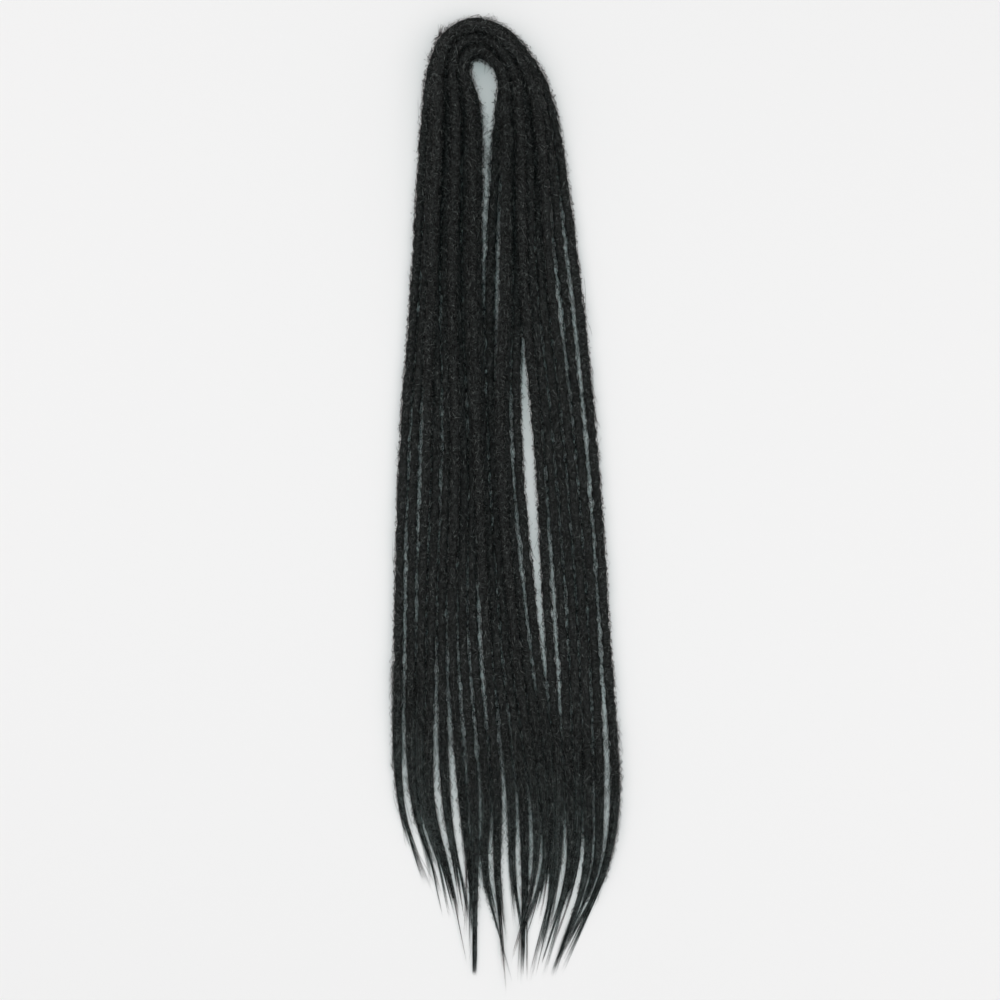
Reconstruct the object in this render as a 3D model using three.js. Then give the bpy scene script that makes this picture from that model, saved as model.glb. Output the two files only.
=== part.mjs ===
// A bundle of ten double-ended dreadlock extensions, folded in half and laid flat on a surface.
// Each dread is one felted rope of hair that tapers to a combed-out point at both ends. Its middle goes
// round the fold at the top, and its two legs run down side by side, drawing together at the points.
// It is five solids, its fold, two legs and two ends, so that each has one simple bend at most.
// Millimetres. X runs across the bundle, Y up towards the fold, and Z up from the surface it lies on.
// The origin is the centre of the bundle's box, on that surface.

import * as THREE from 'three';

// One dread
const DREAD_LENGTH = 1190; // from point to point, laid straight
const DREAD_DIAMETER = 6.2; // of the felted body
const POINT_DIAMETER = 1.4; // where the combed-out point ends
const TAPER_LENGTH = 130; // of each combed-out point

// The bundle, as it lies
const BUNDLE_LENGTH = 630; // from the top of the fold to the lowest points
const HALF_SPREAD = 73.5; // half the width of the legs where they lie widest
const FOLD_DEPTH = 20; // from the top of the fold down to its eye
const FOLD_LEAN = 5; // how far the crest of the outermost dread leans to the left
const EYE_LEAN = 11; // the same, of the innermost dread
const SHOULDER_DROP = 3.7; // how far inside a half ellipse the outermost dread keeps at its shoulders
const EYE_BULGE = 6.5; // how far the eye opens on each side beyond the legs below it
const CLEARANCE = 0.34; // between dreads that touch
const SEAM = 0.3; // between the solids of one dread

// Facets
const SIDES = 8;
const POINT_STEPS = 9;
const LEG_STEPS = 12;
const END_LEG_STEPS = 3; // how many of a leg's steps belong to the solid of its end
const FOLD_STEPS = 16;
const ROUTE_DIVISIONS = 2000; // for measuring along a laying line
const CLOSE_RINGS = 1.2; // how many taper lengths have close rings at each end, where the legs bend inwards

// How the dreads settle on each other
const SETTLING_PASSES = 260;
const CLEARING_PASSES = 200;
const SINK = 0.12; // how far each pass lets a dread drop
const LANE_HOLD = 0.12; // share of a sideways push that a dread's own place takes back in each pass
const STIFFNESS = 0.3; // share of a kink that each settling pass takes out
const CLEARING_STIFFNESS = 0.1; // the same for the first clearing pass, fading to none in the last

const BODY_RADIUS = DREAD_DIAMETER / 2;
const POINT_RADIUS = POINT_DIAMETER / 2;
const POINT_SPAN = CLOSE_RINGS * TAPER_LENGTH;
const FLAT_SHARE = Math.cos(Math.PI / SIDES); // a section's middle to its flats, as a share of its radius
const SOLIDS = [
  { name: 'left_end', steps: POINT_STEPS + END_LEG_STEPS },
  { name: 'left_leg', steps: LEG_STEPS - END_LEG_STEPS },
  { name: 'fold', steps: FOLD_STEPS },
  { name: 'right_leg', steps: LEG_STEPS - END_LEG_STEPS },
  { name: 'right_end', steps: POINT_STEPS + END_LEG_STEPS },
];
const FOLD_ANGLES = [150, 120, 90, 60, 30]; // degrees round the fold, from its left shoulder to its right
const CREST_ANGLE = 90;

// How far down the bundle each station lies, as a share of BUNDLE_LENGTH.
const STATIONS = {
  shoulder: 0.086,
  upper: 0.27,
  middle: 0.435,
  lower: 0.62,
  low: 0.804,
  bend: 0.871,
  end: 0.973,
};

// Where the legs cross each station, as shares of HALF_SPREAD to the right of the fold's middle.
// A row is one dread, the outermost first.
const LEFT_LEGS = [
  { shoulder: -0.437, upper: -0.545, middle: -0.67, lower: -0.73, low: -0.71, bend: -0.53, end: -0.18 },
  { shoulder: -0.398, upper: -0.505, middle: -0.595, lower: -0.62, low: -0.59, bend: -0.43, end: -0.24 },
  { shoulder: -0.368, upper: -0.45, middle: -0.48, lower: -0.52, low: -0.52, bend: -0.355, end: -0.16 },
  { shoulder: -0.343, upper: -0.4, middle: -0.4, lower: -0.44, low: -0.455, bend: -0.31, end: -0.125 },
  { shoulder: -0.293, upper: -0.33, middle: -0.3, lower: -0.35, low: -0.31, bend: -0.225, end: -0.07 },
  { shoulder: -0.243, upper: -0.26, middle: -0.21, lower: -0.265, low: -0.165, bend: -0.11, end: -0.08 },
  { shoulder: -0.23, upper: -0.2, middle: -0.14, lower: -0.16, low: -0.065, bend: -0.06, end: -0.065 },
  { shoulder: -0.155, upper: -0.14, middle: -0.08, lower: -0.08, low: 0.045, bend: 0.03, end: 0.23 },
  { shoulder: -0.112, upper: -0.08, middle: -0.03, lower: 0.045, low: 0.14, bend: 0.135, end: 0.205 },
  { shoulder: -0.078, upper: -0.04, middle: 0.02, lower: 0.13, low: 0.265, bend: 0.275, end: 0.395 },
];
const RIGHT_LEGS = [
  { shoulder: 0.58, upper: 0.83, middle: 0.98, lower: 1.09, low: 1.175, bend: 1.085, end: 0.69 },
  { shoulder: 0.54, upper: 0.73, middle: 0.87, lower: 0.985, low: 1.04, bend: 1.005, end: 0.67 },
  { shoulder: 0.485, upper: 0.61, middle: 0.77, lower: 0.89, low: 0.935, bend: 0.925, end: 0.65 },
  { shoulder: 0.44, upper: 0.53, middle: 0.68, lower: 0.805, low: 0.855, bend: 0.825, end: 0.535 },
  { shoulder: 0.39, upper: 0.45, middle: 0.59, lower: 0.71, low: 0.78, bend: 0.775, end: 0.52 },
  { shoulder: 0.33, upper: 0.37, middle: 0.5, lower: 0.59, low: 0.685, bend: 0.665, end: 0.5 },
  { shoulder: 0.31, upper: 0.3, middle: 0.31, lower: 0.455, low: 0.61, bend: 0.605, end: 0.485 },
  { shoulder: 0.27, upper: 0.25, middle: 0.22, lower: 0.34, low: 0.555, bend: 0.56, end: 0.305 },
  { shoulder: 0.23, upper: 0.2, middle: 0.15, lower: 0.27, low: 0.475, bend: 0.47, end: 0.245 },
  { shoulder: 0.16, upper: 0.055, middle: 0.06, lower: 0.2, low: 0.37, bend: 0.385, end: 0.38 },
];

// How each dread was laid: the layer that it starts in, and how far its middle slipped over to the right
// of the crest, as a share of DREAD_LENGTH.
const LAYING = [
  { layer: 0, slip: 0.024 },
  { layer: 1, slip: 0.0165 },
  { layer: 2, slip: 0.021 },
  { layer: 0, slip: 0.0005 },
  { layer: 1, slip: 0.012 },
  { layer: 2, slip: 0.0095 },
  { layer: 0, slip: -0.011 },
  { layer: 1, slip: -0.005 },
  { layer: 2, slip: -0.002 },
  { layer: 0, slip: 0.0105 },
];

// The points of one leg from the shoulder down, and one far past the end on the same line.
function legPoints(leg) {
  const points = Object.entries(STATIONS).map(
    ([name, down]) => new THREE.Vector3(leg[name] * HALF_SPREAD, -down * BUNDLE_LENGTH, 0)
  );
  const [bend, end] = points.slice(-2);
  const onward = end.clone().sub(bend).setLength(DREAD_LENGTH / 2);
  return [...points, end.clone().add(onward)];
}

// The line along which a dread is laid, seen from above, and how far along it the crest of the fold lies.
function layingLine(rank) {
  const inward = rank / (LAYING.length - 1);
  const left = legPoints(LEFT_LEGS[rank]).reverse();
  const right = legPoints(RIGHT_LEGS[rank]);
  const [from, to] = [left[left.length - 1], right[0]];
  const halfSpan = (to.x - from.x) / 2;
  const rise = -from.y - BODY_RADIUS - (FOLD_DEPTH - DREAD_DIAMETER) * inward;
  const lean = THREE.MathUtils.lerp(FOLD_LEAN, EYE_LEAN, inward);
  const fold = FOLD_ANGLES.map((degrees) => {
    const angle = THREE.MathUtils.degToRad(degrees);
    const bulge = THREE.MathUtils.lerp(-SHOULDER_DROP, EYE_BULGE, inward) * Math.sin(2 * angle);
    const leaning = lean * Math.sin(angle) ** (1 + inward); // an inner dread leans mostly at its crest
    const across = from.x + halfSpan * (1 + Math.cos(angle)) + bulge - leaning;
    return new THREE.Vector3(across, from.y + rise * Math.sin(angle), 0);
  });
  const curve = new THREE.CatmullRomCurve3([...left, ...fold, ...right], false, 'centripetal');
  curve.arcLengthDivisions = ROUTE_DIVISIONS;
  const crestShare = (left.length + FOLD_ANGLES.indexOf(CREST_ANGLE)) / (curve.points.length - 1);
  const crest = curve.getLengths()[Math.round(crestShare * ROUTE_DIVISIONS)];
  return { curve, crest, foldSpan: Math.PI * Math.max(halfSpan, rise) };
}

// Distances from one point of the dread to the other, close together where it bends.
function ringDistances(crest, foldSpan) {
  const stretches = [
    { to: POINT_SPAN, steps: POINT_STEPS },
    { to: crest - foldSpan / 2, steps: LEG_STEPS },
    { to: crest + foldSpan / 2, steps: FOLD_STEPS },
    { to: DREAD_LENGTH - POINT_SPAN, steps: LEG_STEPS },
    { to: DREAD_LENGTH, steps: POINT_STEPS },
  ];
  const distances = [0];
  for (const { to, steps } of stretches) {
    const from = distances[distances.length - 1];
    for (let k = 1; k <= steps; k++) distances.push(from + ((to - from) * k) / steps);
  }
  return distances;
}

function radiusAt(distance) {
  const fromPoint = Math.min(distance, DREAD_LENGTH - distance);
  const share = Math.min(1, fromPoint / TAPER_LENGTH);
  return THREE.MathUtils.lerp(POINT_RADIUS, BODY_RADIUS, share);
}

// One dread as a chain of rings: the place where it was laid, where it lies, and its radius there.
function layDread(rank) {
  const { layer, slip } = LAYING[rank];
  const { curve, crest, foldSpan } = layingLine(rank);
  const middle = DREAD_LENGTH / 2 - slip * DREAD_LENGTH;
  const start = crest - middle;
  return ringDistances(middle, foldSpan).map((distance) => {
    const laid = curve.getPointAt((start + distance) / curve.getLength());
    const radius = radiusAt(distance);
    const place = laid.clone().setZ(radius + layer * DREAD_DIAMETER);
    return { laid, place, radius };
  });
}

// Pushes two stretches of dread apart where they come closer than their radii and the clearance.
function pushApart(a0, a1, b0, b1) {
  const reach = (a0.place.distanceTo(a1.place) + b0.place.distanceTo(b1.place)) / 2 + 2 * DREAD_DIAMETER;
  if (Math.abs(a0.place.y + a1.place.y - b0.place.y - b1.place.y) / 2 > reach) return;
  if (Math.abs(a0.place.x + a1.place.x - b0.place.x - b1.place.x) / 2 > reach) return;

  const u = a1.place.clone().sub(a0.place);
  const v = b1.place.clone().sub(b0.place);
  const w = a0.place.clone().sub(b0.place);
  const [uu, uv, vv, uw, vw] = [u.dot(u), u.dot(v), v.dot(v), u.dot(w), v.dot(w)];
  const clamp = (share) => Math.min(1, Math.max(0, share));
  let s = clamp((uv * vw - vv * uw) / Math.max(uu * vv - uv * uv, Number.EPSILON));
  const t = clamp((uv * s + vw) / vv);
  s = clamp((uv * t - uw) / uu);
  const apart = w.addScaledVector(u, s).addScaledVector(v, -t);
  const radiusA = THREE.MathUtils.lerp(a0.radius, a1.radius, s);
  const radiusB = THREE.MathUtils.lerp(b0.radius, b1.radius, t);
  const missing = radiusA + radiusB + CLEARANCE - apart.length();
  if (missing <= 0) return;

  const shares = [1 - s, s, t - 1, -t];
  const push = missing / shares.reduce((sum, share) => sum + share * share, 0);
  apart.normalize();
  [a0, a1, b0, b1].forEach((ring, k) => ring.place.addScaledVector(apart, push * shares[k]));
}

// Keeps all dreads clear of each other and of themselves, and on the surface.
function keepClear(dreads) {
  dreads.forEach((first, i) => {
    for (const second of dreads.slice(i)) {
      for (let m = 1; m < first.length; m++) {
        for (let n = second === first ? m + FOLD_STEPS : 1; n < second.length; n++) {
          pushApart(first[m - 1], first[m], second[n - 1], second[n]);
        }
      }
    }
  });
  for (const ring of dreads.flat()) ring.place.z = Math.max(ring.place.z, ring.radius * FLAT_SHARE);
}

// Takes kinks out of the height, and out of the sideways shift from where the dread was laid.
function straighten(dread, share) {
  const shifts = dread.map((ring) => ring.place.clone().sub(ring.laid));
  for (let k = 1; k < dread.length - 1; k++) {
    const before = dread[k].laid.distanceTo(dread[k - 1].laid);
    const after = dread[k].laid.distanceTo(dread[k + 1].laid);
    const even = shifts[k - 1].clone().lerp(shifts[k + 1], before / (before + after));
    dread[k].place.addScaledVector(even.sub(shifts[k]), share);
  }
}

// Lets the laid dreads sink onto the surface and onto each other, then clears what still overlaps.
function settle(dreads) {
  for (let pass = 0; pass < SETTLING_PASSES; pass++) {
    for (const { place, laid } of dreads.flat()) {
      place.x += (laid.x - place.x) * LANE_HOLD;
      place.y += (laid.y - place.y) * LANE_HOLD;
      place.z -= SINK;
    }
    dreads.forEach((dread) => straighten(dread, STIFFNESS));
    keepClear(dreads);
  }
  for (let pass = 1; pass <= CLEARING_PASSES; pass++) {
    dreads.forEach((dread) => straighten(dread, CLEARING_STIFFNESS * (1 - pass / CLEARING_PASSES)));
    keepClear(dreads);
  }
  return dreads;
}

// Gives each ring its directions: back along the dread, to the side, and up, as far as the dread is level.
function faceRings(rings) {
  return rings.map((ring, k) => {
    const [before, after] = [rings[Math.max(k - 1, 0)], rings[Math.min(k + 1, rings.length - 1)]];
    const back = before.place.clone().sub(after.place).normalize();
    const side = new THREE.Vector3(0, 0, 1).cross(back).normalize();
    return { ...ring, back, side, up: back.clone().cross(side) };
  });
}

// The rings of each solid of one dread, drawn back from the next solid by half the seam.
function cutSolids(rings) {
  let first = 0;
  return SOLIDS.map(({ name, steps }) => {
    const own = rings
      .slice(first, first + steps + 1)
      .map((ring) => ({ ...ring, place: ring.place.clone() }));
    if (first > 0) own[0].place.addScaledVector(own[0].back, -SEAM / 2);
    first += steps;
    if (first < rings.length - 1) own[steps].place.addScaledVector(own[steps].back, SEAM / 2);
    return { name, own };
  });
}

// A closed, capped tube through the rings, with a flat of each section facing the surface.
function feltedRope(rings) {
  const steps = rings.length - 1;
  const geometry = new THREE.CylinderGeometry(1, 1, 1, SIDES, steps);
  const position = geometry.getAttribute('position');
  const vertex = new THREE.Vector3();
  for (let k = 0; k < position.count; k++) {
    vertex.fromBufferAttribute(position, k);
    const { place, radius, side, up } = rings[Math.round((0.5 - vertex.y) * steps)];
    const turn = Math.round((Math.atan2(vertex.x, vertex.z) / (2 * Math.PI)) * SIDES + SIDES) % SIDES;
    const angle = ((turn + 0.5) * 2 * Math.PI) / SIDES;
    const out = radius * Math.round(Math.hypot(vertex.x, vertex.z));
    vertex.copy(place);
    vertex.addScaledVector(side, out * Math.cos(angle));
    vertex.addScaledVector(up, out * Math.sin(angle));
    position.setXYZ(k, vertex.x, vertex.y, vertex.z);
  }
  geometry.computeVertexNormals();
  return geometry;
}

const feltedHair = new THREE.MeshStandardMaterial({ color: 0x17191a, roughness: 0.9, metalness: 0 });
const bundle = new THREE.Group();
settle(LAYING.map((_, rank) => layDread(rank))).forEach((rings, rank) => {
  for (const { name, own } of cutSolids(faceRings(rings))) {
    const mesh = new THREE.Mesh(feltedRope(own), feltedHair.clone());
    mesh.name = `dread_${String(rank + 1).padStart(2, '0')}_${name}`;
    bundle.add(mesh);
  }
});

const box = new THREE.Box3().setFromObject(bundle);
const centre = box.getCenter(new THREE.Vector3());
bundle.position.set(-centre.x, -centre.y, -box.min.z);

export default bundle;
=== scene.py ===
"""A bundle of ten double-ended felted dreadlock extensions, folded in half and laid flat on a pale surface.

Each dread is a lumpy felted body with a coat of tangled fibres, and ends in combed-out hairs at both
points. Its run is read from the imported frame. Metres, X across the bundle, Y towards its fold, Z up.
"""

import math

import bmesh
import bpy
import numpy as np
from bpy.props import FloatProperty, FloatVectorProperty, IntProperty, PointerProperty
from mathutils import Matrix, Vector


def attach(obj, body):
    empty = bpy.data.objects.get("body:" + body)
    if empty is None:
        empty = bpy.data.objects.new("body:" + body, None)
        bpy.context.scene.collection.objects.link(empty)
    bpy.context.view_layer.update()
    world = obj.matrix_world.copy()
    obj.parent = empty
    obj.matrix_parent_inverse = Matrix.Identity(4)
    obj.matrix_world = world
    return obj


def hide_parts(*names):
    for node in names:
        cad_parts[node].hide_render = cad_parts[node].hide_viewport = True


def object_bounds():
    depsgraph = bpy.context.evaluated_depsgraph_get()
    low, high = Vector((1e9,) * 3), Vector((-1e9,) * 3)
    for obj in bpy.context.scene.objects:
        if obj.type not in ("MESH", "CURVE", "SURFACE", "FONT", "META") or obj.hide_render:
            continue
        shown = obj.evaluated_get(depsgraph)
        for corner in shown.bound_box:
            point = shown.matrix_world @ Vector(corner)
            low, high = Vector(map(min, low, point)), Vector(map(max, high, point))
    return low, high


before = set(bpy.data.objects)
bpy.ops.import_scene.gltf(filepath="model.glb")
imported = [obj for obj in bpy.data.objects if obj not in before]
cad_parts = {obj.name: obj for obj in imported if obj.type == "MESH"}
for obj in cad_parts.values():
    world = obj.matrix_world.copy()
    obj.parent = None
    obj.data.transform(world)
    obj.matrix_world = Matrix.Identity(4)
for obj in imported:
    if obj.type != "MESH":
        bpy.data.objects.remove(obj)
CAD_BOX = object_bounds()

bl_info = {
    "name": "Felted dreadlock bundle",
    "version": (1, 0, 0),
    "blender": (4, 5, 0),
    "location": "View3D > Sidebar > Dreadlocks",
    "description": "Makes a folded bundle of double-ended felted dreadlocks around its packed frame",
    "category": "Object",
}

SOLIDS = ("left_end", "left_leg", "fold", "right_leg", "right_end")
CAD_SIDES = 8
MERGE_DISTANCE = 0.00002
RUN_STEP = 0.001  # between the places that a run is sampled at
RUN_LEAD = 0.03  # how far a run goes on straight past each point
LOWEST = 0.0002  # the height that the felt and the middle of every hair keep above the surface
SHORTEST = 1e-12  # keeps a vector without length from being divided by nothing
SEED = 31
COAT_DRAWS, COMBED_DRAWS, STRAY_DRAWS = 1, 2, 3  # each kind of hair has its own random numbers


# The runs of the dreads


def node_rings(node):
    """The sections of a CAD node's tube from one cap to the other, in rows of centre and radius."""
    tube = bmesh.new()
    tube.from_mesh(node.data)
    bmesh.ops.remove_doubles(tube, verts=tube.verts, dist=MERGE_DISTANCE)
    cap = next(v for v in tube.verts if len(v.link_edges) == CAD_SIDES)
    seen = {cap}
    layer = [cap]
    rings = []
    while True:
        reached = {edge.other_vert(vert) for vert in layer for edge in vert.link_edges} - seen
        if len(reached) < CAD_SIDES:
            break
        seen |= reached
        layer = list(reached)
        corners = np.array([vert.co for vert in layer])
        centre = corners.mean(axis=0)
        rings.append([*centre, np.linalg.norm(corners - centre, axis=1).mean()])
    tube.free()
    return np.array(rings)


def dread_rings(name):
    """The sections of all solids of one dread, from its left point to its right one."""
    chain = None
    for solid in SOLIDS:
        rings = node_rings(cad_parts[f"{name}_{solid}"])
        if chain is None:
            chain = rings if rings[0, 3] < rings[-1, 3] else rings[::-1]
            continue
        gaps = np.linalg.norm(rings[[0, -1], :3] - chain[-1, :3], axis=1)
        chain = np.vstack([chain, (rings if gaps[0] < gaps[1] else rings[::-1])[1:]])
    return chain


def smooth_rows(knots, rows, at):
    """Rows between given ones, on cubic curves through them."""
    slopes = np.gradient(rows, knots, axis=0)
    k = np.clip(np.searchsorted(knots, at, "right") - 1, 0, len(knots) - 2)
    width = (knots[k + 1] - knots[k])[:, None]
    t = (at - knots[k])[:, None] / width
    bend = t * (1 - t)
    value = rows[k] * (1 - t) + rows[k + 1] * t
    value += bend * (1 - t) * (slopes[k] * width - (rows[k + 1] - rows[k]))
    value -= bend * t * (slopes[k + 1] * width - (rows[k + 1] - rows[k]))
    return value


def unit(vectors):
    return vectors / np.maximum(np.linalg.norm(vectors, axis=-1, keepdims=True), SHORTEST)


class Run:
    """The middle line of one dread, with its directions and radius, by the distance from its left point."""

    def __init__(self, name):
        self.name = name
        rings = dread_rings(name)
        steps = np.linalg.norm(np.diff(rings[:, :3], axis=0), axis=1)
        knots = np.concatenate([[0.0], np.cumsum(steps)])
        rows = smooth_rows(knots, rings, np.linspace(0, knots[-1], int(knots[-1] / RUN_STEP)))
        lead = int(RUN_LEAD / RUN_STEP)
        before = rows[0] + (rows[0] - rows[2]) / 2 * np.arange(lead, 0, -1)[:, None]
        after = rows[-1] + (rows[-1] - rows[-3]) / 2 * np.arange(1, lead + 1)[:, None]
        before[:, 3] = rows[0, 3]
        after[:, 3] = rows[-1, 3]
        rows = np.vstack([before, rows, after])
        rows[:, 2] = np.maximum(rows[:, 2], rows[:, 3])
        place = rows[:, :3]
        steps = np.linalg.norm(np.diff(place, axis=0), axis=1)
        self.distance = np.concatenate([[0.0], np.cumsum(steps)])
        self.distance -= self.distance[lead]
        self.length = self.distance[-lead - 1]
        along = unit(np.gradient(place, self.distance, axis=0))
        side = unit(np.cross((0.0, 0.0, 1.0), along))
        self.columns = np.hstack([rows, side, np.cross(along, side)])

    def at(self, distance):
        """Place, radius, sideways direction and upward direction at distances, in arrays of any shape."""
        values = [np.interp(distance, self.distance, column) for column in self.columns.T]
        values = np.stack(values, axis=-1)
        return values[..., :3], values[..., 3], values[..., 4:7], values[..., 7:]

    def radius(self, distance):
        return np.interp(distance, self.distance, self.columns[:, 3])

    def around(self, distance, angle, out, aside=0.0):
        """Points beside the middle line, out from it at an angle round it and then off to one side of the
        dread, kept above the surface."""
        place, _, side, up = self.at(distance)
        across = out * np.cos(angle) + aside
        point = place + side * across[..., None] + up * (out * np.sin(angle))[..., None]
        point[..., 2] = np.maximum(point[..., 2], LOWEST)
        return point

    def from_point(self, distance):
        """How far a place is from the nearer point of the dread, less than nothing past it."""
        return np.minimum(distance, self.length - distance)


def smoothstep(low, high, value):
    share = np.clip((value - low) / (high - low), 0, 1)
    return share * share * (3 - 2 * share)


DREADS = sorted({"_".join(node.split("_")[:2]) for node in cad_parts})
RUNS = [Run(name) for name in DREADS]


# Materials


def colour_property(name, description, default):
    return FloatVectorProperty(name=name, description=description, default=default, size=3,
                               subtype="COLOR", min=0, max=1)


TUFT_DETAIL = 3
GRAIN_DETAIL = 4
GRAIN_ROUGHNESS = 0.7
TUFT_WEIGHT = 0.9  # how much the tufts count beside the grain
TONE_NOISE = (0.75, 1.2)  # the span of both noises together that takes the tone from dark to light
TONE_SWING = 0.5  # how far the noise moves a hair's own tone either way
HAIR_ROUGHNESS = (0.95, 0.6)  # of the darkest and the lightest hair
HAIR_IOR = 1.3
RELIEF_DEPTH = 0.0005
# Scales of the tufts and of the grain in each finish, in features a metre.
FELT_GRAIN = (600, 1600)
LOOSE_GRAIN = (650, 1600)
COMBED_GRAIN = (200, 800)


def hair_tone_group():
    """A node group that breaks the colour of hair into tufts and single hairs, and gives their relief."""
    # Painted shade: colour and relief share one noise, so the relief's hollows are darker and its tufts
    # lighter.
    found = bpy.data.node_groups.get("hair_tone")
    if found:
        return found
    group = bpy.data.node_groups.new("hair_tone", "ShaderNodeTree")
    for name, kind, default in (
        ("Shade", "NodeSocketColor", (0.01, 0.01, 0.01, 1)),
        ("Light", "NodeSocketColor", (0.05, 0.05, 0.05, 1)),
        ("Own Tone", "NodeSocketFloat", 0.5),
        ("Tuft Scale", "NodeSocketFloat", 180.0),
        ("Grain Scale", "NodeSocketFloat", 900.0),
    ):
        socket = group.interface.new_socket(name, in_out="INPUT", socket_type=kind)
        socket.default_value = default
    outputs = {"Color": "NodeSocketColor", "Roughness": "NodeSocketFloat", "Height": "NodeSocketFloat"}
    for name, kind in outputs.items():
        group.interface.new_socket(name, in_out="OUTPUT", socket_type=kind)
    nodes, link = group.nodes, group.links.new
    given = nodes.new("NodeGroupInput")
    made = nodes.new("NodeGroupOutput")
    place = nodes.new("ShaderNodeTexCoord")
    tufts = nodes.new("ShaderNodeTexNoise")
    grain = nodes.new("ShaderNodeTexNoise")
    tufts.inputs["Detail"].default_value = TUFT_DETAIL
    grain.inputs["Detail"].default_value = GRAIN_DETAIL
    grain.inputs["Roughness"].default_value = GRAIN_ROUGHNESS
    for noise, scale in ((tufts, "Tuft Scale"), (grain, "Grain Scale")):
        link(place.outputs["Object"], noise.inputs["Vector"])
        link(given.outputs[scale], noise.inputs["Scale"])
    both = nodes.new("ShaderNodeMath")
    both.operation = "MULTIPLY_ADD"
    link(tufts.outputs["Fac"], both.inputs[0])
    both.inputs[1].default_value = TUFT_WEIGHT
    link(grain.outputs["Fac"], both.inputs[2])
    spread = nodes.new("ShaderNodeMapRange")
    spread.inputs["From Min"].default_value = TONE_NOISE[0]
    spread.inputs["From Max"].default_value = TONE_NOISE[1]
    spread.inputs["To Min"].default_value = -TONE_SWING
    spread.inputs["To Max"].default_value = TONE_SWING
    link(both.outputs[0], spread.inputs["Value"])
    tone = nodes.new("ShaderNodeMath")
    tone.operation = "ADD"
    tone.use_clamp = True
    link(spread.outputs["Result"], tone.inputs[0])
    link(given.outputs["Own Tone"], tone.inputs[1])
    mix = nodes.new("ShaderNodeMix")
    mix.data_type = "RGBA"
    link(tone.outputs[0], mix.inputs["Factor"])
    link(given.outputs["Shade"], mix.inputs["A"])
    link(given.outputs["Light"], mix.inputs["B"])
    rough = nodes.new("ShaderNodeMapRange")
    rough.inputs["To Min"].default_value = HAIR_ROUGHNESS[0]
    rough.inputs["To Max"].default_value = HAIR_ROUGHNESS[1]
    link(tone.outputs[0], rough.inputs["Value"])
    link(mix.outputs["Result"], made.inputs["Color"])
    link(rough.outputs["Result"], made.inputs["Roughness"])
    # Height is the same noise that sets the colour, so the hollows of a bump carry painted shade.
    link(both.outputs[0], made.inputs["Height"])
    return group


def hair_material(name, shade, light, tuft_scale, grain_scale, bump=0):
    """A matte hair finish. Own Tone comes from the piece's hair_tone attribute."""
    material = bpy.data.materials.new(name)
    material.use_nodes = True
    nodes, link = material.node_tree.nodes, material.node_tree.links.new
    shader = nodes["Principled BSDF"]
    shader.inputs["IOR"].default_value = HAIR_IOR
    own = nodes.new("ShaderNodeAttribute")
    own.attribute_name = "hair_tone"
    tone = nodes.new("ShaderNodeGroup")
    tone.node_tree = hair_tone_group()
    tone.inputs["Shade"].default_value = (*shade, 1)
    tone.inputs["Light"].default_value = (*light, 1)
    tone.inputs["Tuft Scale"].default_value = tuft_scale
    tone.inputs["Grain Scale"].default_value = grain_scale
    link(own.outputs["Fac"], tone.inputs["Own Tone"])
    link(tone.outputs["Color"], shader.inputs["Base Color"])
    link(tone.outputs["Roughness"], shader.inputs["Roughness"])
    # With relief, the darker colour sits in its hollows and the lighter on its tufts: painted shade and
    # painted light.
    if bump:
        relief = nodes.new("ShaderNodeBump")
        relief.inputs["Strength"].default_value = bump
        relief.inputs["Distance"].default_value = RELIEF_DEPTH
        link(tone.outputs["Height"], relief.inputs["Height"])
        link(relief.outputs["Normal"], shader.inputs["Normal"])
    return material


SURFACE_ROUGHNESS = 0.8


def surface_material(colour):
    material = bpy.data.materials.new("pale_surface")
    material.use_nodes = True
    shader = material.node_tree.nodes["Principled BSDF"]
    shader.inputs["Base Color"].default_value = (*colour, 1)
    shader.inputs["Roughness"].default_value = SURFACE_ROUGHNESS
    return material


# Meshes


def add_tone(mesh, values):
    mesh.attributes.new("hair_tone", "FLOAT", "POINT").data.foreach_set("value", values.astype(np.float32))


UPRIGHT = 0.9  # a hair steeper than this has its sides set by the X axis


def hairs_object(name, lines, radii, tones, material):
    """One mesh of many thin hairs, each closed and three-sided, with a point at both ends.

    lines has a row of points for each hair, radii the radius at each of these, and tones a tone for
    each hair."""
    hairs = len(lines)
    along = unit(np.gradient(lines, axis=1))
    helper = np.where(np.abs(along[..., 2:]) > UPRIGHT, (1.0, 0.0, 0.0), (0.0, 0.0, 1.0))
    side = unit(np.cross(helper, along))
    up = np.cross(along, side)
    turns = np.arange(3) * 2 * math.pi / 3
    rings = lines[:, 1:-1, None] + radii[:, 1:-1, None, None] * (
        side[:, 1:-1, None] * np.cos(turns)[:, None] + up[:, 1:-1, None] * np.sin(turns)[:, None]
    )
    vertices = np.concatenate([lines[:, :1], rings.reshape(hairs, -1, 3), lines[:, -1:]], axis=1)
    per_hair = vertices.shape[1]
    faces = []
    for j in range(3):
        a, b = 1 + j, 1 + (j + 1) % 3
        faces.append((0, b, a))
        for k in range(0, per_hair - 5, 3):
            faces += [(a + k, b + k, b + k + 3), (a + k, b + k + 3, a + k + 3)]
        faces.append((per_hair - 1, a + per_hair - 5, b + per_hair - 5))
    faces = np.array(faces)[None] + np.arange(hairs)[:, None, None] * per_hair
    mesh = bpy.data.meshes.new(name)
    mesh.from_pydata(vertices.reshape(-1, 3).tolist(), [], faces.reshape(-1, 3).tolist())
    mesh.shade_smooth()
    add_tone(mesh, np.repeat(tones, per_hair))
    mesh.materials.append(material)
    piece = bpy.data.objects.new(name, mesh)
    bpy.context.collection.objects.link(piece)
    return piece


def join_frame(piece, *nodes):
    """Lets a finished piece move with the bundle, and stand for CAD nodes."""
    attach(piece, "root")
    if nodes:
        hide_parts(*nodes)


# Felted bodies


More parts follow.
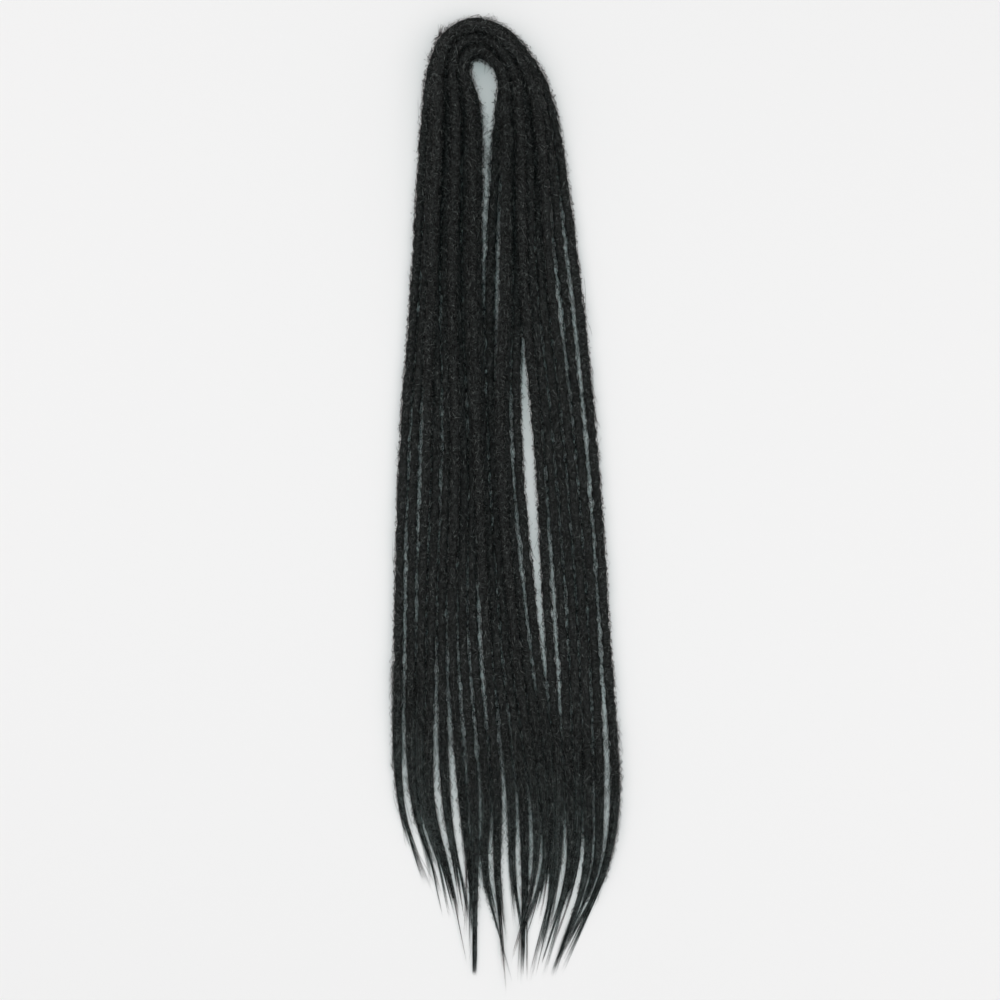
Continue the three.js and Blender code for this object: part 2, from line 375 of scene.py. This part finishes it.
class FeltBodySettings(bpy.types.PropertyGroup):
    width_share: FloatProperty(
        name="Width share", description="Width of the felted body as a share of the dread with its coat",
        default=0.86, min=0.5, max=1, subtype="FACTOR")
    tip_start: FloatProperty(
        name="Tip start", description="How far from each point the felted body ends",
        default=0.022, min=0, unit="LENGTH")
    tip_length: FloatProperty(
        name="Tip length", description="The length over which the felted body thins out",
        default=0.05, min=0.001, unit="LENGTH")
    lump_height: FloatProperty(
        name="Lump height", description="Height of the lumps in the felt",
        default=0.0026, min=0, unit="LENGTH")
    lump_size: FloatProperty(
        name="Lump size", description="Size of the lumps in the felt",
        default=0.006, min=0.001, unit="LENGTH")
    tangle_height: FloatProperty(
        name="Tangle height", description="Height of the tangles in the felt",
        default=0.0016, min=0, unit="LENGTH")
    tangle_size: FloatProperty(
        name="Tangle size", description="Size of the tangles in the felt",
        default=0.0019, min=0.0005, unit="LENGTH")
    # Painted shade in the felt's hollows and painted light on its tufts, on top of tone that varies at
    # random.
    shade: colour_property("Shade", "Colour of the felt in its hollows", (0.0007, 0.0008, 0.0008))
    light: colour_property("Light", "Colour of the felt on its tufts", (0.036, 0.041, 0.0395))


BODY_STEP = 0.0025
BODY_BEVEL = 4  # half the sides of the body's tube, less two
BODY_TIP_RADIUS = 0.0003
FELT_TONE = 0.4
FELT_RELIEF = 0.9
FELT_NOISE_DEPTH = 2
FELT_GROUP = "felt"  # reached by name, because applying a modifier frees a group that is held in a value
NARROW_FROM = 0.08  # how far from each point the felt begins to give way to combed hair
TIP_NARROWING = 0.3  # the share of its width that the felt loses by the point


def displace(piece, label, size, height, group):
    """Raises and sinks the surface of a mesh by cloudy noise, as much as a vertex group says."""
    texture = bpy.data.textures.new(label, "CLOUDS")
    texture.noise_scale = size
    texture.noise_depth = FELT_NOISE_DEPTH
    modifier = piece.modifiers.new(label, "DISPLACE")
    modifier.texture = texture
    modifier.texture_coords = "LOCAL"
    modifier.strength = height
    modifier.mid_level = 0.5
    modifier.vertex_group = group
    bpy.ops.object.modifier_apply(modifier=modifier.name)


class DREADLOCKS_OT_felt_bodies(bpy.types.Operator):
    """Makes the felted body of each dread"""

    bl_idname = "dreadlocks.felt_bodies"
    bl_label = "Felted Bodies"

    def execute(self, context):
        size = context.scene.felt_body
        material = hair_material("felted_hair", size.shade, size.light, *FELT_GRAIN, FELT_RELIEF)
        for run in RUNS:
            self.make_body(run, size, material)
        return {"FINISHED"}

    def make_body(self, run, size, material):
        distance = np.arange(size.tip_start, run.length - size.tip_start, BODY_STEP)
        thinning = smoothstep(0, size.tip_length, run.from_point(distance) - size.tip_start)
        thinning *= 1 - TIP_NARROWING * smoothstep(NARROW_FROM, 0, run.from_point(distance))
        radius = np.maximum(run.radius(distance) * size.width_share * thinning, BODY_TIP_RADIUS)
        place = run.at(distance)[0]

        bpy.ops.object.select_all(action="DESELECT")
        bpy.ops.curve.primitive_nurbs_path_add()
        body = bpy.context.object
        body.name = run.name.replace("dread", "felted_dread")
        curve = body.data
        curve.splines.clear()
        line = curve.splines.new("POLY")
        line.points.add(len(place) - 1)
        line.points.foreach_set("co", np.hstack([place, np.ones((len(place), 1))]).ravel())
        line.points.foreach_set("radius", radius)
        curve.twist_mode = "Z_UP"
        curve.bevel_depth = 1
        curve.bevel_resolution = BODY_BEVEL
        curve.use_fill_caps = True
        bpy.ops.object.convert(target="MESH")
        bpy.ops.object.mode_set(mode="EDIT")
        bpy.ops.mesh.select_all(action="SELECT")
        bpy.ops.mesh.remove_doubles(threshold=MERGE_DISTANCE)
        bpy.ops.mesh.normals_make_consistent(inside=False)
        bpy.ops.object.mode_set(mode="OBJECT")
        mesh = body.data
        felt = body.vertex_groups.new(name=FELT_GROUP)
        for vertex in mesh.vertices:
            from_end = min(math.dist(vertex.co, place[0]), math.dist(vertex.co, place[-1]))
            felt.add([vertex.index], float(smoothstep(0, size.tip_length, from_end)), "REPLACE")
        displace(body, "lumps", size.lump_size, size.lump_height, FELT_GROUP)
        displace(body, "tangles", size.tangle_size, size.tangle_height, FELT_GROUP)
        bpy.ops.object.shade_smooth()
        corners = np.zeros(len(mesh.vertices) * 3)
        mesh.vertices.foreach_get("co", corners)
        corners[2::3] = np.maximum(corners[2::3], LOWEST)
        mesh.vertices.foreach_set("co", corners)
        add_tone(mesh, np.full(len(mesh.vertices), FELT_TONE))
        mesh.materials.clear()
        mesh.materials.append(material)
        join_frame(body, *(f"{run.name}_{solid}" for solid in SOLIDS))


# The coat of tangled fibres


class FibreCoatSettings(bpy.types.PropertyGroup):
    fibres: IntProperty(
        name="Fibres", description="How many fibres the coat of each dread has", default=11000, min=0)
    fibre_radius: FloatProperty(
        name="Fibre radius", description="Radius of a fibre at its middle",
        default=0.00015, min=0.00001, unit="LENGTH", precision=6)
    shade: colour_property("Shade", "Colour of the darkest fibres", (0.0006, 0.0008, 0.0008))
    light: colour_property("Light", "Colour of the lightest fibres", (0.19, 0.213, 0.205))


FIBRE_POINTS = 3
COAT_START = 0.02  # how far from each point the coat begins
COAT_FADE = 0.04  # over how far it thickens
ALONG = (0, 0.5)  # from a point of the dread to its middle, in shares of its length
EYE_DREADS = ("dread_08", "dread_09", "dread_10")
# Kinds of fibre in the coat. heading is the steepest angle to the dread in degrees. rise is how far the
# middle of a loop or a loose end stands out from the felt. width is a share of the fibre radius. band is
# where on each half of the dread the fibres are, as shares of its length. The last three kinds are a fine
# haze in the gaps: everywhere, along the combed ends, and on the dreads beside the eye.
FIBRE_KINDS = (
    {"share": 0.24, "length": (0.003, 0.007), "heading": 80, "rise": (0.0002, 0.0008), "width": 1},
    {"share": 0.33, "length": (0.003, 0.007), "heading": 85, "rise": (0.0006, 0.0016), "width": 1},
    {"share": 0.21, "length": (0.003, 0.008), "heading": 85, "rise": (0.0005, 0.002), "width": 1,
     "loose": True},
    {"share": 0.03, "length": (0.006, 0.014), "heading": 60, "rise": (0.001, 0.004), "width": 1,
     "loose": True},
    {"share": 0.05, "length": (0.005, 0.011), "heading": 70, "rise": (0.001, 0.0032), "width": 0.5},
    {"share": 0.09, "length": (0.008, 0.018), "heading": 45, "rise": (0.0008, 0.0032), "width": 0.55,
     "band": (0.015, 0.09)},
    {"share": 0.13, "length": (0.006, 0.013), "heading": 60, "rise": (0.0008, 0.0035), "width": 0.55,
     "band": (0.32, 0.455), "dreads": EYE_DREADS},
)
COAT_BASE = 0.93  # where fibres lie on the felt, as a share of the dread's radius
LOOP_ROOT = 0.0002  # how far the ends of a loop sink below that
WAVE = 0.0003  # how far the points of a fibre stray from its course
FOLD_RISE = 0.7  # how much further fibres stand out round the fold, as a share of their rise
FOLD_REACH = (0.14, 0.05)  # how far from a dread's middle that starts, and is full
LOOSE_CURVE = 1.5  # how slowly a loose end leaves the felt
THICKNESS = (0.7, 1.3)  # of the thinnest and the thickest hair, as shares of the radius
COAT_TONES = (0.3, 1.2)  # a spread with many dark fibres and few light ones


def coat_fibres(run, rng, count, kind):
    """Courses of fibres round a dread, as loops or with one loose end."""
    loose = kind.get("loose", False)
    t = np.linspace(0, 1, FIBRE_POINTS)[None, :]
    reach = rng.uniform(*kind["length"], (count, 1))
    course = np.radians(rng.uniform(-kind["heading"], kind["heading"], (count, 1)))
    lead = COAT_START + rng.uniform(0, COAT_FADE, (count, 1))
    share = rng.uniform(*kind.get("band", ALONG), (count, 1))
    share = np.where(rng.random((count, 1)) < 0.5, share, 1 - share)
    start = lead + share * (run.length - 2 * lead)
    distance = start + (t - 0.5) * reach * np.cos(course) + rng.normal(0, WAVE, (count, FIBRE_POINTS))
    radius = run.radius(distance)
    across = (t - 0.5) * reach * np.sin(course) + rng.normal(0, WAVE, (count, FIBRE_POINTS))
    angle = rng.uniform(0, 2 * math.pi, (count, 1)) + across / radius
    round_fold = smoothstep(*FOLD_REACH, np.abs(start - run.length / 2))
    lift = rng.uniform(*kind["rise"], (count, 1)) * (1 + FOLD_RISE * round_fold)
    shape = t**LOOSE_CURVE if loose else np.sin(math.pi * t)
    out = radius * COAT_BASE + lift * shape - (0.0 if loose else LOOP_ROOT) * (1 - shape)
    return run.around(distance, angle, out)


class DREADLOCKS_OT_fibre_coats(bpy.types.Operator):
    """Makes the coat of tangled fibres round each dread"""

    bl_idname = "dreadlocks.fibre_coats"
    bl_label = "Fibre Coats"

    def execute(self, context):
        size = context.scene.fibre_coat
        material = hair_material("loose_fibre", size.shade, size.light, *LOOSE_GRAIN)
        for rank, run in enumerate(RUNS):
            rng = np.random.default_rng([SEED, COAT_DRAWS, rank])
            kinds = [kind for kind in FIBRE_KINDS if run.name in kind.get("dreads", DREADS)]
            counts = [round(size.fibres * kind["share"]) for kind in kinds]
            lines = np.concatenate([coat_fibres(run, rng, *pair) for pair in zip(counts, kinds)])
            widths = np.repeat([kind["width"] for kind in kinds], counts)[:, None]
            thickness = rng.uniform(*THICKNESS, (len(lines), 1))
            radii = size.fibre_radius * widths * thickness * np.ones((1, FIBRE_POINTS))
            tones = rng.beta(*COAT_TONES, len(lines))
            coat = hairs_object(run.name.replace("dread", "fibre_coat"), lines, radii, tones, material)
            join_frame(coat)
        return {"FINISHED"}


# Stray hairs


class StrayHairSettings(bpy.types.PropertyGroup):
    strays: IntProperty(
        name="Strays", description="How many stray hairs leave each dread", default=90, min=0)
    reach: FloatProperty(
        name="Reach", description="How far the longest stray hairs stand off",
        default=0.006, min=0, unit="LENGTH")
    hair_radius: FloatProperty(
        name="Hair radius", description="Radius of a stray hair at its middle",
        default=0.00007, min=0.00001, unit="LENGTH", precision=6)
    shade: colour_property("Shade", "Colour of the darkest stray hairs", (0.003, 0.0036, 0.0038))
    light: colour_property("Light", "Colour of the lightest stray hairs", (0.06, 0.068, 0.07))


STRAY_POINTS = 7
STRAY_LENGTH = (0.012, 0.04)
STRAY_TURN = 0.5  # how far a stray hair winds round the dread, in radians
STRAY_LIFT = (1.2, 2.5)  # a spread with few hairs that stand off as far as they may
STRAY_CURL = (0.8, 1.2)
STRAY_CURVE = 1.5
STRAY_THICKNESS = (0.8, 1.3)
STRAY_TONES = (1.5, 2.5)
# Tufts that stand out from the bundle. place is from the left point as a share of the dread's length.
# turn is the angle round the dread in degrees, where 0 is straight out from the fold. heading leans the
# tuft along the dread, towards the right point where it is above 0.
TUFTS = (
    {"dread": "dread_01", "place": 0.4545, "turn": 10, "hairs": 20, "length": 0.0075, "heading": 52},
    {"dread": "dread_01", "place": 0.4555, "turn": 10, "hairs": 12, "length": 0.0055, "heading": -58},
)
TUFT_ROOT = 0.0006  # how far apart the roots of a tuft's hairs are
TUFT_HEADING = 9  # how far its hairs part from its heading, in degrees
TUFT_TURN = 0.12  # how far their roots part round the dread, in radians
TUFT_CURVE = 0.1  # how far their ends turn on from there
TUFT_LENGTH = (0.5, 1.1)


def stray_hairs(run, rng, count, reach):
    """Courses of long hairs that leave the dread slowly and end away from it."""
    t = np.linspace(0, 1, STRAY_POINTS)[None, :]
    length = rng.uniform(*STRAY_LENGTH, (count, 1))
    start = rng.uniform(COAT_START, run.length - COAT_START, (count, 1))
    forward = rng.choice((-1.0, 1.0), (count, 1))
    distance = start + forward * length * t
    angle = rng.uniform(0, 2 * math.pi, (count, 1)) + rng.normal(0, STRAY_TURN, (count, 1)) * t
    lift = reach * rng.beta(*STRAY_LIFT, (count, 1))
    curl = rng.uniform(*STRAY_CURL, (count, 1))
    rise = np.sin(np.minimum(t * curl, 1) * math.pi / 2) ** STRAY_CURVE
    return run.around(distance, angle, run.radius(distance) * COAT_BASE + lift * rise)


def tuft_hairs(run, rng, tuft):
    """Courses of the hairs of one tuft, which share their root and their heading."""
    t = np.linspace(0, 1, STRAY_POINTS)[None, :]
    count = tuft["hairs"]
    root = run.length * tuft["place"] + rng.normal(0, TUFT_ROOT, (count, 1))
    heading = np.radians(tuft["heading"] + rng.normal(0, TUFT_HEADING, (count, 1)))
    length = tuft["length"] * rng.uniform(*TUFT_LENGTH, (count, 1))
    distance = root + length * np.sin(heading) * t
    out = run.radius(distance) * COAT_BASE + length * np.cos(heading) * t
    angle = np.radians(tuft["turn"]) + rng.normal(0, TUFT_TURN, (count, 1))
    angle = angle + rng.normal(0, TUFT_CURVE, (count, 1)) * t**2
    return run.around(distance, angle, out)


class DREADLOCKS_OT_stray_hairs(bpy.types.Operator):
    """Makes the long hairs and tufts that stand off each dread"""

    bl_idname = "dreadlocks.stray_hairs"
    bl_label = "Stray Hairs"

    def execute(self, context):
        size = context.scene.stray_hair
        material = hair_material("stray_hair", size.shade, size.light, *LOOSE_GRAIN)
        for rank, run in enumerate(RUNS):
            rng = np.random.default_rng([SEED, STRAY_DRAWS, rank])
            lines = [stray_hairs(run, rng, size.strays, size.reach)]
            lines += [tuft_hairs(run, rng, tuft) for tuft in TUFTS if tuft["dread"] == run.name]
            lines = np.concatenate(lines)
            thickness = rng.uniform(*STRAY_THICKNESS, (len(lines), 1))
            radii = size.hair_radius * thickness * np.ones((1, STRAY_POINTS))
            tones = rng.beta(*STRAY_TONES, len(lines))
            strays = hairs_object(run.name.replace("dread", "stray_hairs"), lines, radii, tones, material)
            join_frame(strays)
        return {"FINISHED"}


# The combed-out points


class CombedPointSettings(bpy.types.PropertyGroup):
    hairs: IntProperty(
        name="Hairs", description="How many combed hairs each point has", default=310, min=0)
    hair_radius: FloatProperty(
        name="Hair radius", description="Radius of a combed hair at its middle",
        default=0.00006, min=0.00001, unit="LENGTH", precision=6)
    longest: FloatProperty(
        name="Root", description="How far from the point the combed hairs can begin",
        default=0.135, min=0.01, unit="LENGTH")
    reach: FloatProperty(
        name="Reach", description="How far past the solid's point the last hairs reach",
        default=0.026, min=0, unit="LENGTH")
    drift: FloatProperty(
        name="Drift", description="How far the widest locks lie off to one side at their ends",
        default=0.0055, min=0, unit="LENGTH")
    shade: colour_property("Shade", "Colour of the darkest combed hairs", (0.008, 0.0098, 0.0096))
    light: colour_property("Light", "Colour of the lightest combed hairs", (0.125, 0.148, 0.144))


HAIR_POINTS = 6
LOCKS = 11  # the hairs of a point hang together in this many locks
WIDE_LOCKS = 3  # so many of these stray far to one side
WIDE_DRIFT = (0.4, 1)  # how far these stray, as shares of the drift
LOCK_TONES = (1.2, 1.6)
LOCK_ENDS = (1.2, 1.3)  # an even spread of ends, with fewer at the first and the last
NEAREST_ROOT = 0.045  # how close to the point a combed hair can begin
FIRST_END = 0.055  # how far before the solid's point the shortest lock ends
HAIR_ENDS = 0.012  # how far before the end of their lock its hairs end, on average
TURN_SPREAD = 0.55  # how far hairs lie from their lock round the dread, in radians
TURN_CLOSING = 0.6  # the share of that which is lost by the hair's end
CLOSE_FROM = 0.07  # how far from the point the hairs begin to draw together
CLOSE_BEYOND = 1.4  # how far past the point that would be done, as a share of the reach
INSIDE = (0.05, 1.0)  # how much of the closed point's section they fill
OUTSIDE = (0.85, 1.2)  # where they lie before that, as shares of the dread's radius
CLOSED_WIDTH = 0.45  # the width of the closed point, as a share of the solid's
HAIR_WAVE = 0.00015
LEAVE_FROM = 0.085  # how far from the point the locks begin to part
LEAVE_CURVE = 1.3
OWN_DRIFT = (0.5, 1.1)  # how far single hairs follow their lock aside
OWN_TONE = 0.12  # how far the tone of a hair is from its lock's
HAIR_THINNING = 0.55  # the share of its thickness that a hair loses by its end
# Points whose hairs are all cut to one length, close past the solid's point, and hang together thickly.
BLUNT_POINTS = {("dread_07", "left")}
BLUNT_ENDS = (-0.0065, -0.003)
BLUNT_WIDENING = 0.5
BLUNT_FROM = (0.03, 0.005)  # how far from the point the widening starts, and is full
BLUNT_DRIFT = 0.15


def combed_hairs(run, rng, size, end):
    """Courses and tones of the hairs at one point, drawing together along the last stretch of the dread."""
    count = size.hairs
    blunt = (run.name, end) in BLUNT_POINTS
    t = np.linspace(0, 1, HAIR_POINTS)[None, :]
    lock = rng.integers(0, LOCKS, (count, 1))
    lock_angle = rng.permutation(LOCKS) * 2 * math.pi / LOCKS
    lock_tone = rng.beta(*LOCK_TONES, LOCKS)
    lock_end = rng.beta(*LOCK_ENDS, LOCKS)
    lock_drift = rng.normal(0, size.drift / 3, LOCKS)
    wide_drift = rng.uniform(*WIDE_DRIFT, WIDE_LOCKS) * size.drift
    lock_drift[:WIDE_LOCKS] = wide_drift * rng.choice((-1, 1), WIDE_LOCKS)

    root = rng.uniform(NEAREST_ROOT, size.longest, (count, 1))
    tip = -size.reach + (size.reach + FIRST_END) * lock_end[lock] + rng.exponential(HAIR_ENDS, (count, 1))
    if blunt:
        tip = rng.uniform(*BLUNT_ENDS, (count, 1))
    from_point = root + (tip - root) * t
    distance = run.length - from_point if end == "right" else from_point
    spread = TURN_SPREAD * (1 - TURN_CLOSING * t)
    angle = lock_angle[lock] + rng.normal(0, 1, (count, 1)) * spread
    narrowing = smoothstep(-size.reach * CLOSE_BEYOND, CLOSE_FROM, from_point)
    inside = np.sqrt(rng.uniform(*INSIDE, (count, 1)))
    outside = rng.uniform(*OUTSIDE, (count, 1))
    own_share = inside * (1 - narrowing) + outside * narrowing
    width = CLOSED_WIDTH + (1 - CLOSED_WIDTH) * narrowing
    if blunt:
        width = 1 + BLUNT_WIDENING * smoothstep(*BLUNT_FROM, from_point)
    out = run.radius(distance) * width * own_share
    out += np.abs(rng.normal(0, HAIR_WAVE, (count, HAIR_POINTS))) * t
    leaving = smoothstep(LEAVE_FROM, -size.reach, from_point) ** LEAVE_CURVE
    aside = lock_drift[lock] * leaving * rng.uniform(*OWN_DRIFT, (count, 1)) * (BLUNT_DRIFT if blunt else 1)
    tones = lock_tone[lock[:, 0]] + rng.normal(0, OWN_TONE, count)
    return run.around(distance, angle, out, aside), np.clip(tones, 0, 1)


class DREADLOCKS_OT_combed_points(bpy.types.Operator):
    """Makes the combed-out hairs at both points of each dread"""

    bl_idname = "dreadlocks.combed_points"
    bl_label = "Combed Points"

    def execute(self, context):
        size = context.scene.combed_point
        material = hair_material("combed_hair", size.shade, size.light, *COMBED_GRAIN)
        for rank, run in enumerate(RUNS):
            rng = np.random.default_rng([SEED, COMBED_DRAWS, rank])
            ends = [combed_hairs(run, rng, size, end) for end in ("left", "right")]
            lines = np.concatenate([courses for courses, _ in ends])
            tones = np.concatenate([own for _, own in ends])
            thin = 1 - HAIR_THINNING * np.linspace(0, 1, HAIR_POINTS)[None, :] ** 2
            radii = size.hair_radius * rng.uniform(*THICKNESS, (len(lines), 1)) * thin
            points = hairs_object(run.name.replace("dread", "combed_points"), lines, radii, tones, material)
            join_frame(points)
        return {"FINISHED"}


# The stage


class StageSettings(bpy.types.PropertyGroup):
    surface_width: FloatProperty(
        name="Surface width", description="Width of the surface that the bundle lies on",
        default=6, min=0.5, unit="LENGTH")
    surface_colour: colour_property("Surface", "Colour of the surface", (0.87, 0.87, 0.87))
    view_width: FloatProperty(
        name="View width", description="Width of the picture at the bundle", default=0.6468, unit="LENGTH")
    view_x: FloatProperty(
        name="View X", description="Middle of the picture across the bundle", default=-0.004, unit="LENGTH")
    view_y: FloatProperty(
        name="View Y", description="Middle of the picture along the bundle", default=-0.0049, unit="LENGTH")
    camera_height: FloatProperty(
        name="Camera height", description="Height of the camera above the middle of the bundle",
        default=2, unit="LENGTH")
    top_power: FloatProperty(
        name="Top light", description="Power of the soft light above", default=14, min=0, unit="POWER")
    side_power: FloatProperty(
        name="Side lights", description="Power of each soft light beside", default=9.4, min=0, unit="POWER")
    sky_strength: FloatProperty(
        name="Room light", description="Strength of the even light from all round", default=0.629, min=0)


SENSOR_WIDTH = 36.0  # millimetres, as the camera's lens is
COOL_LIGHT = (0.5, 1, 1)
WARM_LIGHT = (1, 0.904, 0.904)
LIGHTS = (
    {"name": "top_softbox", "place": (0, 0, 2.6), "width": 1.8, "power": "top_power", "colour": COOL_LIGHT},
    {"name": "left_softbox", "place": (-1.3, 0.3, 1.5), "width": 1.4, "power": "side_power",
     "colour": WARM_LIGHT},
    {"name": "right_softbox", "place": (1.3, -0.2, 1.5), "width": 1.4, "power": "side_power",
     "colour": WARM_LIGHT},
)


class DREADLOCKS_OT_stage(bpy.types.Operator):
    """Makes the pale surface, the soft lights and the camera"""

    bl_idname = "dreadlocks.stage"
    bl_label = "Stage"

    def execute(self, context):
        size = context.scene.stage
        bpy.ops.object.select_all(action="DESELECT")
        bpy.ops.mesh.primitive_plane_add(size=size.surface_width, location=(0, 0, 0))
        surface = bpy.context.object
        surface.name = "surface"
        surface.data.materials.append(surface_material(size.surface_colour))

        for light in LIGHTS:
            bpy.ops.object.light_add(type="AREA", location=light["place"])
            lamp = bpy.context.object
            lamp.name = light["name"]
            lamp.data.size = light["width"]
            lamp.data.energy = getattr(size, light["power"])
            lamp.data.color = light["colour"]
            lamp.rotation_euler = (-lamp.location).to_track_quat("-Z", "Y").to_euler()

        world = bpy.data.worlds.new("room_light")
        world.use_nodes = True
        world.node_tree.nodes["Background"].inputs["Color"].default_value = (*WARM_LIGHT, 1)
        world.node_tree.nodes["Background"].inputs["Strength"].default_value = size.sky_strength
        context.scene.world = world
        context.scene.view_settings.view_transform = "Standard"

        height = CAD_BOX[1][2] / 2 + size.camera_height
        bpy.ops.object.camera_add(location=(size.view_x, size.view_y, height), rotation=(0, 0, 0))
        camera = bpy.context.object
        camera.name = "camera"
        camera.data.sensor_width = SENSOR_WIDTH
        camera.data.lens = SENSOR_WIDTH * size.camera_height / size.view_width
        context.scene.camera = camera
        return {"FINISHED"}


class DREADLOCKS_PT_bundle(bpy.types.Panel):
    """Lists what the bundle is made of"""

    bl_idname = "DREADLOCKS_PT_bundle"
    bl_label = "Dreadlock Bundle"
    bl_space_type = "VIEW_3D"
    bl_region_type = "UI"
    bl_category = "Dreadlocks"

    def draw(self, context):
        for operator, settings in PARTS:
            column = self.layout.column(align=True)
            column.operator(operator.bl_idname)
            for name in getattr(context.scene, settings).bl_rna.properties.keys():
                if name not in ("rna_type", "name"):
                    column.prop(getattr(context.scene, settings), name)


PARTS = (
    (DREADLOCKS_OT_stage, "stage"),
    (DREADLOCKS_OT_felt_bodies, "felt_body"),
    (DREADLOCKS_OT_fibre_coats, "fibre_coat"),
    (DREADLOCKS_OT_stray_hairs, "stray_hair"),
    (DREADLOCKS_OT_combed_points, "combed_point"),
)
SETTINGS = {
    "stage": StageSettings,
    "felt_body": FeltBodySettings,
    "fibre_coat": FibreCoatSettings,
    "stray_hair": StrayHairSettings,
    "combed_point": CombedPointSettings,
}


def register():
    for name, settings in SETTINGS.items():
        bpy.utils.register_class(settings)
        setattr(bpy.types.Scene, name, PointerProperty(type=settings))
    for operator, _ in PARTS:
        bpy.utils.register_class(operator)
    bpy.utils.register_class(DREADLOCKS_PT_bundle)


def unregister():
    bpy.utils.unregister_class(DREADLOCKS_PT_bundle)
    for operator, _ in reversed(PARTS):
        bpy.utils.unregister_class(operator)
    for name, settings in SETTINGS.items():
        delattr(bpy.types.Scene, name)
        bpy.utils.unregister_class(settings)


def main():
    register()
    bpy.ops.dreadlocks.stage()
    bpy.ops.dreadlocks.felt_bodies()
    bpy.ops.dreadlocks.fibre_coats()
    bpy.ops.dreadlocks.stray_hairs()
    bpy.ops.dreadlocks.combed_points()


if __name__ == "__main__":
    main()
